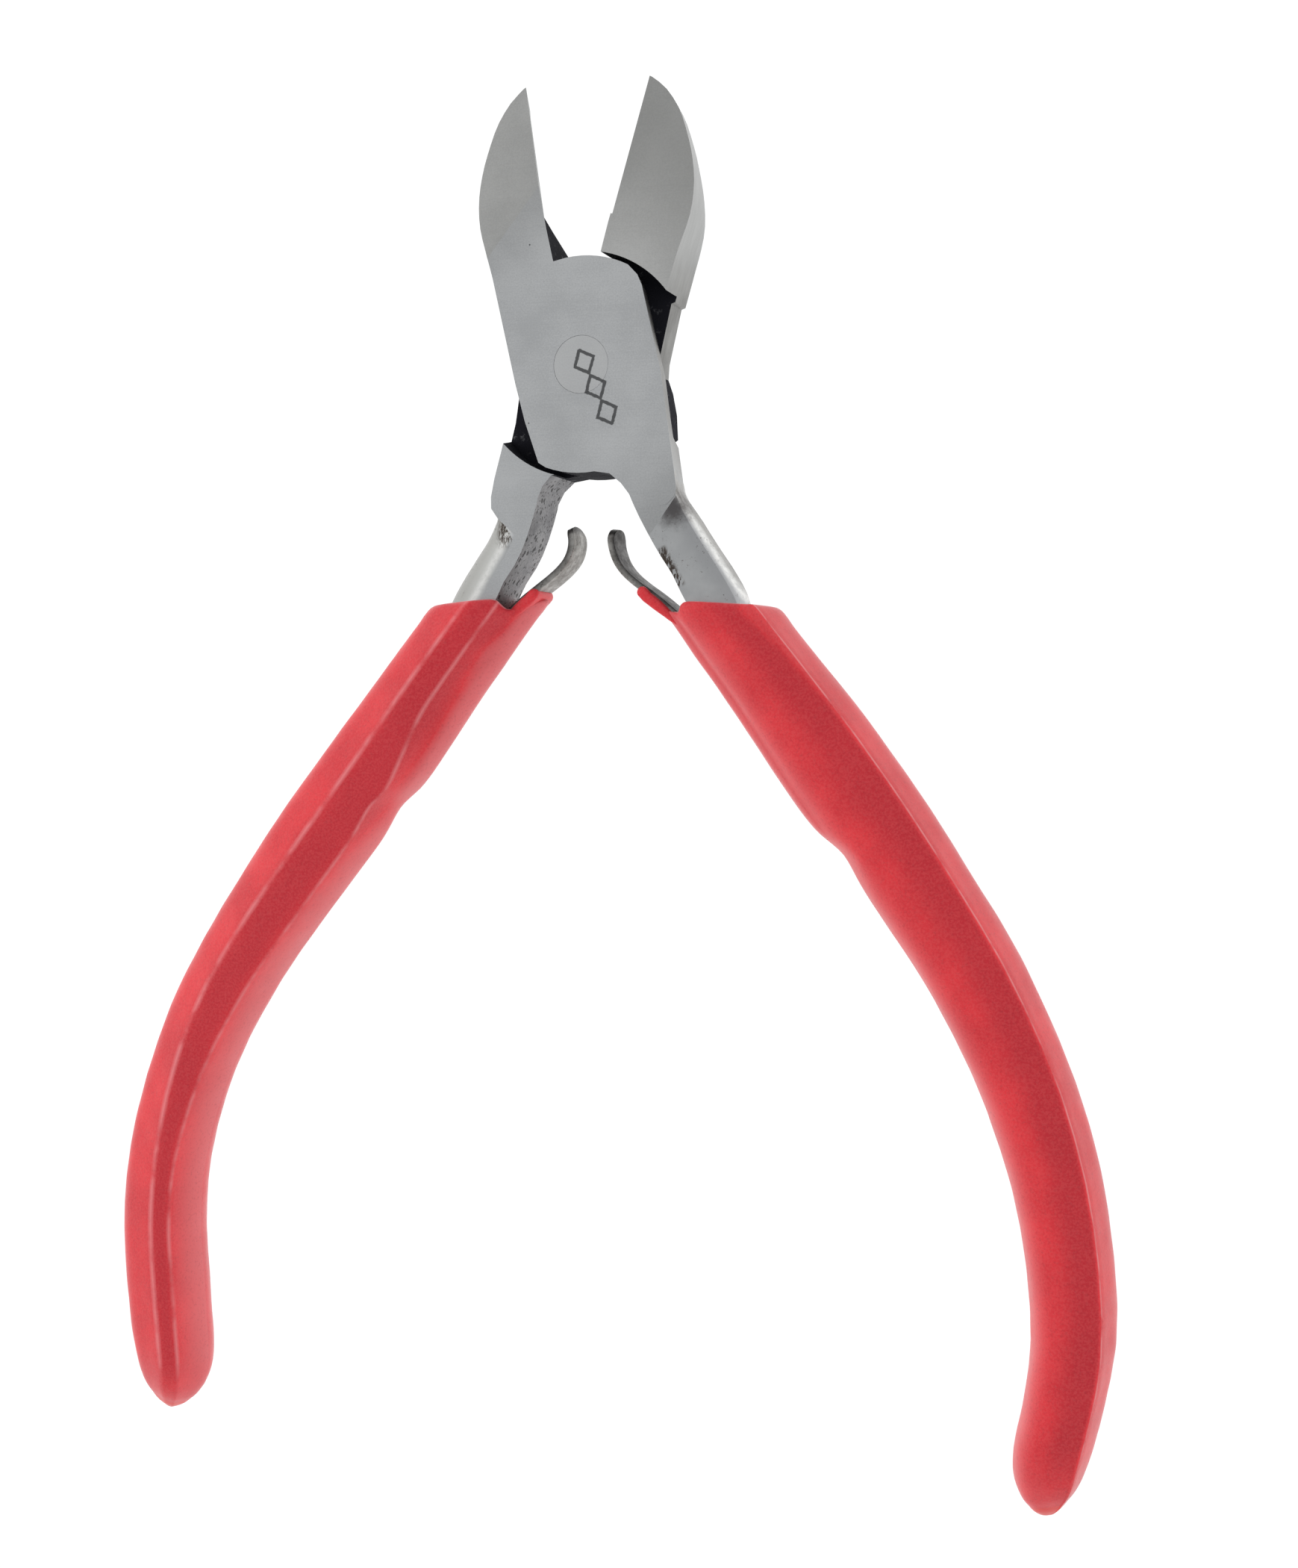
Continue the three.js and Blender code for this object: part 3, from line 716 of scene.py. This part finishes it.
RIM_RUN = (8.5, -2.5)               # direction of the open end across the half's plane
RIM_SLOPE = math.atan2(RIM_RUN[1], RIM_RUN[0])
RIM_NORMAL = Vector((-RIM_RUN[1], RIM_RUN[0])).normalized()
SURE_V = -28.0                      # below this the CAD grip has its whole width
SECTION_POWER = 2.5                 # of the CAD grip's squarish oval
PROBE = 2.6                         # height off the middle plane where the width is probed
PROBE_FROM, PROBE_TO = -60, 90      # u on either side, clear of the grip
SKEW_END = 1.8                      # the CAD grip's last stretch, which isn't probed
GRIP_STEP = 0.55                    # the most from one ring of the skin to the next
TIP_LENGTH = 9.5                    # the grip's end closes over this length
DRIP, DRIP_MORE = 1.2, 0.45         # length of the drip at the end, and its reach past the CAD grip
RIM_BEAD = 0.06                     # the skin is this much thicker just below the rim
RIM_DROP = 0.6                      # the outer skin starts this far below the rim's crest
NOTCH_DEPTH, NOTCH_WIDE = 1.3, 1.1  # depth and half width of the dip in the rim beside the leaf
NOTCH_SHIFT = {"front": 0.35, "rear": 0.8}      # how far inwards of the leaf's root that dip is
LEAF_HALF = 2.2                     # half width of the swelling over the leaf inside the grip
LEAF_END = {"front": -46.8, "rear": -42.5}      # v where the swelling ends
SWELL, GROOVE, WAIST = 0.4, 0.16, 0.5   # its height, the grooves along it and the waist at its end
# Unevenness of the skin: waves per millimetre along u, v and z, and their height
WAVES = (((0.16, 0.11, 0.2), 0.1), ((0.5, 0.35, 0.5), 0.03))
# From inside the open end over its rim: how much each ring is grown, and dropped along the grip
RIM_RINGS = ((-2.2, 1.6), (-1.0, 0.25), (-0.55, 0.0), (-0.2, 0.08), (-0.02, 0.3), (0.05, RIM_DROP))
CRISP = (2, 8, 9)                   # corners of the section that get the painted ridge highlight
SHARPEST = 1.6                      # the first of them gets this much more of the painted highlight
CORNER_STEPS, CORNER_SPARES = 6, 3  # steps round a corner, and points between two corners
FULL_ROUND = 4.0                    # half width below which the corners' rounding shrinks


def ridges(v):
    """Where the two ridges of the lower side are, across, as shares of the half width."""
    past_leaf, low = ease(-v, 32, 42), ease(-v, 60, 85)
    return -0.54 - 0.30 * past_leaf + 0.10 * low, 0.08 - 0.30 * low


def section(v):
    """A grip's section: across and up as shares of its half sizes, and where rounding starts, in mm.

    The half's upper side has one crisp outer ridge with a bead, its lower side an inner and an
    outer ridge with a narrow flat between them.
    """
    inner, outer = ridges(v)
    return (
        (1.04, 0.05, 1.8), (0.84, 0.80, 0.15), (0.79, 0.93, 0.17), (0.70, 0.88, 0.25),
        (-0.1, 0.99, 2.6), (-0.72, 0.80, 1.6), (-1.03, 0.25, 1.2), (-1.03, -0.15, 1.2),
        (inner, -0.97, 0.35), (outer, -1.0, 0.45), (0.88, -0.55, 1.6),
    )


def paleness(x, up, v):
    """How pale the skin is at x across, as a share of the half width, on the upper or lower side: above 0 a
    pinker skin painted as reflected light, below 0 a deeper red painted as shade.
    """
    if up:
        deep = ease(x, -0.25, 0.35) * (1 - ease(x, 0.68, 0.76))
        return 0.6 * (1 - ease(x, -0.95, -0.35)) + 0.15 * ease(x, 0.76, 0.84) - 0.75 * deep
    inner, outer = ridges(v)
    edge = -0.9 + (inner + 0.9) * ease(-v, 36, 60)
    deep = ease(x, edge - 0.05, edge + 0.2) * (1 - ease(x, outer - 0.25, outer + 0.2))
    return 0.95 * (1 - ease(x, -1.04, edge + 0.05)) - 0.8 * deep


def sides(tree, v, height):
    """Where rays meet the grip's inner and outer side at v, at a height off the middle plane."""
    return (tree.ray_cast(Vector((PROBE_FROM, v, MID + height)), Vector((1, 0, 0)))[0],
            tree.ray_cast(Vector((PROBE_TO, v, MID + height)), Vector((-1, 0, 0)))[0])


def section_sizes(tree, v):
    """Middle u, half width along u and half height of the CAD grip at v."""
    height = 0 if sides(tree, v, PROBE)[0] is None else PROBE
    low, high = sides(tree, v, height)
    middle = (low.x + high.x) / 2
    top = tree.ray_cast(Vector((middle, v, MID + 50)), Vector((0, 0, -1)))[0]
    tall = top.z - MID
    share = (1 - min(height / tall, 0.97) ** SECTION_POWER) ** (1 / SECTION_POWER)
    return middle, (high.x - low.x) / 2 / share, tall


class GripShape:
    """The CAD grip's middle line and half sizes, read off its mesh by rays.

    Above SURE_V, where the open end cuts into the CAD grip's width, they go on as curves.
    """

    def __init__(self, half):
        bm = in_plane(half, "grip")
        tree = BVHTree.FromBMesh(bm)
        self.rim = max(v.co.xy.dot(RIM_NORMAL) for v in bm.verts)
        bottom = min(v.co.y for v in bm.verts)
        bm.free()
        self.end = bottom - DRIP_MORE
        self.table = np.array([(v, *section_sizes(tree, v))
                               for v in np.arange(SURE_V, bottom + SKEW_END, -0.5)])
        upper = self.table[:20]
        self.above = [np.polyfit(upper[:, 0], upper[:, k], 2) for k in (1, 2, 3)]
        self.start = self.top()

    def at(self, v):
        """Middle u, half width along u and half height at v."""
        if v > SURE_V:
            return [float(np.polyval(fit, v)) for fit in self.above]
        left = min(max((v - self.end) / TIP_LENGTH, 0), 1)
        narrow = (1 - (1 - left) ** 3) ** 0.65
        narrow *= 1 - 0.03 * math.exp(-(((v - self.end - DRIP) / 0.35) ** 2))
        _, wide, tall = self.row(max(v, self.end + TIP_LENGTH))
        return [self.row(v)[0], wide * narrow, tall * narrow]

    def row(self, v):
        """The same for any v, without the closing end.

        Past the table the middle line goes on straight.
        """
        table = self.table
        values = [float(np.interp(-v, -table[:, 0], table[:, k])) for k in (1, 2, 3)]
        before, last = table[-5], table[-1]
        if v < last[0]:
            values[0] += (before[1] - last[1]) / (before[0] - last[0]) * (v - last[0])
        return values

    def heading(self, v):
        """Unit direction of the middle line, downwards."""
        run = self.at(v - 0.5)[0] - self.at(v + 0.5)[0]
        return Vector((run, -1.0)).normalized()

    def top(self):
        """v where the middle line meets the open end."""
        return min(np.arange(-19, -27, -0.01),
                   key=lambda v: abs(Vector((self.at(v)[0], v)).dot(RIM_NORMAL) - self.rim))


def grip_ring(shape, half, v, grow, drop, notch):
    """World points of the section at v, grown by some millimetres and dropped along the grip.

    Beside the leaf it is dropped by notch more.
    """
    middle, wide, tall = shape.at(v)
    heading = shape.heading(v)
    slope = RIM_SLOPE * (1 - ease(-v, -shape.start, -shape.start + 14))
    along = Vector((math.cos(slope), math.sin(slope)))
    wide *= abs(heading.y) / abs(along.cross(heading))
    size = min(wide, FULL_ROUND) / FULL_ROUND
    corners = [(x * (wide + grow), y * (tall + grow), cut * size) for x, y, cut in section(v)]
    ring = []
    end = LEAF_END[half.name]
    swell = SWELL * (1 - ease(-v, -end - 2.5, -end + 0.4)) - WAIST * math.exp(-(((v - end) / 2.6) ** 2))
    groove = GROOVE * (1 - ease(-v, 30, 42))
    for x, y in rounded(corners, CORNER_STEPS, CORNER_SPARES):
        gap = math.exp(-(((x + shape.notch) / NOTCH_WIDE) ** 2)) * notch
        place = Vector((middle, v)) + along * x + heading * (drop + gap)
        wave = sum(height * noise.noise(Vector((place.x * a, place.y * b, y * c + half.rear * 9)))
                   for (a, b, c), height in WAVES)
        outward = Vector((x / wide, y / tall)).normalized() if wide > 0.5 else Vector((0, 0))
        place += along * (outward.x * wave)
        inward = ease(-x / wide, 0.45, 0.9)
        place -= along * inward * (min(swell, swell * (1 - ease(abs(y), LEAF_HALF - 0.4, LEAF_HALF + 0.2)))
                                   - groove * math.exp(-(((abs(y) - LEAF_HALF) / 0.3) ** 2)))
        ring.append(half.world(place.x, place.y, MID + y + outward.y * wave))
    return ring


def grip(half, line, material):
    """The dipped grip, from inside its open end over the rim and down to the drip."""
    shape = GripShape(half)
    root = line[-1]
    shape.notch = shape.at(root.y)[0] - root.x + NOTCH_SHIFT[half.name]
    bm = bmesh.new()
    tone, pale, ridge = (bm.verts.layers.float.new(name) for name in ("tone", "pale", "ridge"))
    rings = [grip_ring(shape, half, shape.start, *ring, NOTCH_DEPTH) for ring in RIM_RINGS]
    heights = [shape.start] * len(rings)
    v = shape.start - RIM_DROP
    while v > shape.end + 0.02:
        fade = 1 - ease(shape.start - v, 0, 6)
        bead = RIM_BEAD * (1 - ease(shape.start - v, RIM_DROP, 1.4))
        rings.append(grip_ring(shape, half, v, bead, RIM_DROP * fade, NOTCH_DEPTH * fade))
        heights.append(v)
        v -= min(GRIP_STEP, max(0.02, 0.11 * (v - shape.end)))
    for v, row in zip(heights, loft(bm, rings)):
        middle, wide, _ = shape.at(v)
        left = v - shape.end
        for i, vert in enumerate(row):
            corner, step = divmod(i, CORNER_STEPS + 1 + CORNER_SPARES)
            place = half.to_plane @ vert.co
            across = (place.x - middle - shape.heading(v).x * (place.y - v)) / max(wide, 0.3)
            fade = ease(left, 1.5, 7)
            # the ridge corners get the painted highlight, and pale carries the painted sheen and shade
            if corner in CRISP and step <= CORNER_STEPS:
                crisp = SHARPEST if corner == CRISP[0] else 1
                vert[ridge] = crisp * fade * (1 - abs(2 * step / CORNER_STEPS - 1))
            vert[pale] = fade * paleness(across, place.z > MID, v) + 0.2 * (1 - fade)
            vert[tone] = 0.85 * (1 - ease(left, DRIP - 0.15, DRIP + 0.1))
    smooth(bm, 180)
    piece = object_of(bm, half.node("grip_skin"), [material])
    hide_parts(half.node("grip"))
    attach(piece, half.body)


WEB_THICK = 0.6     # dip on the leaf's inner side
WEB_ROUND = 0.6     # its upper end is rounded over this length
WEB_THIN = (22, 24.5)           # it gets thinner between these depths, inside the grip
WEB_DIVE = (0.8, 1.6, 2.4)      # points past the leaf's root, along which it goes on into the grip
WEB_CURVE = 0.12                # how fast it turns away there


def web_line(line, thick, crest):
    """The line that the dip's outer side follows, from its upper end at v = crest into the grip."""
    outer = []
    for point, normal in zip(line, line_normals(line)):
        side = normal if normal.x < 0 else -normal
        if point.y < crest:
            outer.append(point + side * (thick / 2 + WEB_THICK * min(1, 0.55 + (crest - point.y) / 2)))
    outer = outer[::2]
    along = (line[-1] - line[-6]).normalized()
    outward = Vector((-along.y, along.x))
    last = outer[-1]
    outer += [last + along * run + outward * WEB_CURVE * run * run for run in WEB_DIVE]
    return smooth_line(outer, 4)


def web(half, line, material):
    """The dip that runs up the leaf and dives into the grip's inner side."""
    bm = in_plane(half, "grip_web")
    crest = max(v.co.y for v in bm.verts)
    broad = (max(v.co.z for v in bm.verts) - min(v.co.z for v in bm.verts)) / 2
    bm.free()
    thick = leaf_line(half)[1]
    deep = WEB_THICK + thick / 2 + 0.1
    outer = web_line(line, thick, crest)
    bm = bmesh.new()
    rings, run = [], 0.0
    for i, (point, normal) in enumerate(zip(outer, line_normals(outer))):
        inward = normal if normal.x > 0 else -normal
        run += (point - outer[i - 1]).length if i else 0.0
        left = 1 - min(run / WEB_ROUND, 1)
        shrink = max(math.sqrt(1 - left * left), 0.2) * (1 - 0.35 * ease(-point.y, *WEB_THIN))
        corners = [(deep / 2 * (1 + x * shrink), y * broad * (0.7 + 0.3 * shrink), 0.4)
                   for x, y in SQUARE]
        rings.append([half.world(point.x + inward.x * x, point.y + inward.y * x, MID + y)
                      for x, y in rounded(corners, 4, 2)])
    loft(bm, rings)
    smooth(bm, 80)
    piece = object_of(bm, half.node("leaf_dip"), [material])
    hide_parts(half.node("grip_web"))
    bend(piece, half, line)


# Floor, light and camera

CAMERA_PLACE = Vector((67.38, -32.19, 188.08)) * MM
CAMERA_SIDE = math.radians(18.47)   # turned towards +X from straight above
CAMERA_TILT = math.radians(1.37)    # turned towards +Y
CAMERA_ROLL = math.radians(0.356)
CAMERA_LENS = 50.525
TABLE_HALF = 1.5
TABLE_GAP = 0.02 * MM               # the table stays this far under the lowest piece
LIGHT_TARGET = Vector((0, -0.04, 0))


def stage():
    """A plain pale table that glows a little, like a light table."""
    low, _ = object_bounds()
    s = Shader("floor_white", Base_Color=(0.08, 0.08, 0.08, 1), Roughness=0.9, Specular_IOR_Level=0.0,
               Emission_Color=(1, 1, 1, 1), Emission_Strength=1.0)
    bm = bmesh.new()
    bmesh.ops.create_grid(bm, x_segments=1, y_segments=1, size=TABLE_HALF,
                          matrix=Matrix.Translation((0, 0, low.z - TABLE_GAP)))
    object_of(bm, "floor", [s.material])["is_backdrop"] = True


def area_light(name, place, size, power):
    """A soft box that faces the tool and isn't mirrored in it."""
    data = bpy.data.lights.new(name, "AREA")
    data.shape = "RECTANGLE"
    data.size, data.size_y = size
    data.energy = power
    light = bpy.data.objects.new(name, data)
    light.location = place
    light.rotation_euler = (Vector(place) - LIGHT_TARGET).to_track_quat("Z", "Y").to_euler()
    light.visible_glossy = False
    bpy.context.scene.collection.objects.link(light)


def lights():
    """Two soft boxes and a room that is paler near the horizon than overhead."""
    area_light("left_box", (-0.70, 0.12, 0.28), (0.6, 1.0), 3.5)
    area_light("right_box", (0.70, -0.1, 0.24), (0.5, 1.0), 0.9)
    world = bpy.data.worlds.new("studio")
    world.use_nodes = True
    bpy.context.scene.world = world
    nodes, links = world.node_tree.nodes, world.node_tree.links
    coordinates = nodes.new("ShaderNodeTexCoord")
    split = nodes.new("ShaderNodeSeparateXYZ")
    ramp = nodes.new("ShaderNodeValToRGB")
    horizon, zenith = ramp.color_ramp.elements
    horizon.color = (0.85, 0.85, 0.85, 1)
    zenith.color = (0.52, 0.525, 0.53, 1)
    links.new(coordinates.outputs["Generated"], split.inputs[0])
    links.new(split.outputs["Z"], ramp.inputs[0])
    links.new(ramp.outputs[0], nodes["Background"].inputs[0])


def camera():
    """The camera over the tool, turned a little towards +X."""
    back = Vector((math.sin(CAMERA_SIDE) * math.cos(CAMERA_TILT), math.sin(CAMERA_TILT),
                   math.cos(CAMERA_SIDE) * math.cos(CAMERA_TILT)))
    right = Vector((0, 1, 0)).cross(back).normalized()
    axes = Matrix((right, back.cross(right), back)).transposed().to_4x4()
    data = bpy.data.cameras.new("camera")
    data.lens = CAMERA_LENS
    data.clip_start, data.clip_end = 0.01, 10
    result = bpy.data.objects.new("camera", data)
    result.matrix_world = Matrix.Translation(CAMERA_PLACE) @ axes @ Matrix.Rotation(CAMERA_ROLL, 4, "Z")
    bpy.context.scene.collection.objects.link(result)
    bpy.context.scene.camera = result


plate = ground_steel("plate_steel", (0.71, 0.722, 0.728), (0.57, 0.582, 0.59), mark=True, fade=0.5)
back_plate = ground_steel("ground_steel", (0.69, 0.702, 0.708), (0.56, 0.572, 0.58))
rivet_end = ground_steel("rivet_steel", (0.71, 0.72, 0.72), (0.64, 0.648, 0.652), mark=True)
# the front jaw's tapered face is painted darker than the plates, as shade for how that face meets the light
jaw = ground_steel("jaw_steel", (0.56, 0.562, 0.55), (0.47, 0.472, 0.462))
back_jaw = ground_steel("rear_jaw_steel", (0.68, 0.682, 0.67), (0.58, 0.582, 0.57), fade=0.45)
side, recess, inner, edge = side_steel(), oxide_and_shade(), forged_inner(), edge_steel()
red, spring = red_dip(), spring_steel()
for half in HALVES:
    lever(half, [back_plate if half.rear else plate, back_jaw if half.rear else jaw, side, recess, inner,
                 tang_steel(half), edge])
    middle_line = leaf(half, spring)
    grip(half, middle_line, red)
    web(half, middle_line, red)
rivet(rivet_end)
stage()
lights()
camera()
bpy.context.scene.view_settings.view_transform = "Standard"
